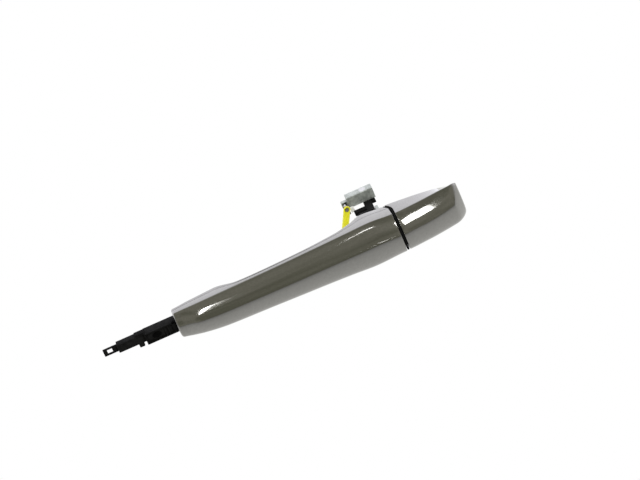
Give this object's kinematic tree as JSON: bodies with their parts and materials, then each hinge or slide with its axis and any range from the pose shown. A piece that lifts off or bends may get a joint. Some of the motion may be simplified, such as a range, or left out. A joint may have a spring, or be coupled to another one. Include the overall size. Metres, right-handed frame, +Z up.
{
  "type": "car door handle",
  "caption": "Pull-type outside car door handle: painted grip with a hinge arm and a rear hook leg, beside its fixed end cap.",
  "frame": {"origin": "on the back of the end cap's gasket, where it meets the door skin", "axes": "+X along the handle from hinge arm to end cap, +Y into the door, +Z up"},
  "size_m": [0.3118, 0.0694, 0.0392],
  "materials": {
    "paint": "metallic warm grey paint under a gloss clear coat",
    "black_moulding": "matt black glass-filled moulding",
    "steel": "bright zinc-plated steel",
    "rubber": "matt black rubber",
    "zinc": "die-cast zinc, mottled light grey",
    "dark_clip": "dark spring steel",
    "nylon": "natural nylon",
    "brass": "turned brass",
    "yellow_tag": "bright yellow moulding"
  },
  "bodies": {
    "cap": {"end_cap_shell": "paint", "cap_carrier": "black_moulding", "cap_insert": "brass", "cap_screw": "steel", "cap_washer": "steel", "cap_gasket": "rubber", "joint_seal": "rubber"},
    "grip": {"grip_outer_shell": "paint", "grip_inner_shell": "paint", "grip_core": "black_moulding", "hinge_arm": "black_moulding", "arm_screw": "steel", "shell_screw_front": "steel", "shell_screw_rear": "steel", "front_gasket": "rubber", "rear_gasket": "rubber", "hook_post": "black_moulding", "leg_screw": "steel", "hook_block": "zinc", "block_screw": "steel", "hook_pin": "steel", "pin_clip": "dark_clip", "hook_pad": "nylon", "leg_plate": "zinc"},
    "tag": {"transit_tag": "yellow_tag"}
  },
  "joints": [
    {"name": "grip_pull", "type": "hinge", "parent": "cap", "child": "grip", "pos_m": [-0.2486, -0.0035, -0.0024], "axis": [0, 0, -1], "range_deg": [0, 8], "stiffness_Nm_per_rad": 4, "springref_deg": -5.73},
    {"name": "tag_swing", "type": "hinge", "parent": "grip", "child": "tag", "pos_m": [-0.0585, 0.0284, 0.0104], "axis": [0, 1, 0], "range_deg": [-45, 35]}
  ]
}
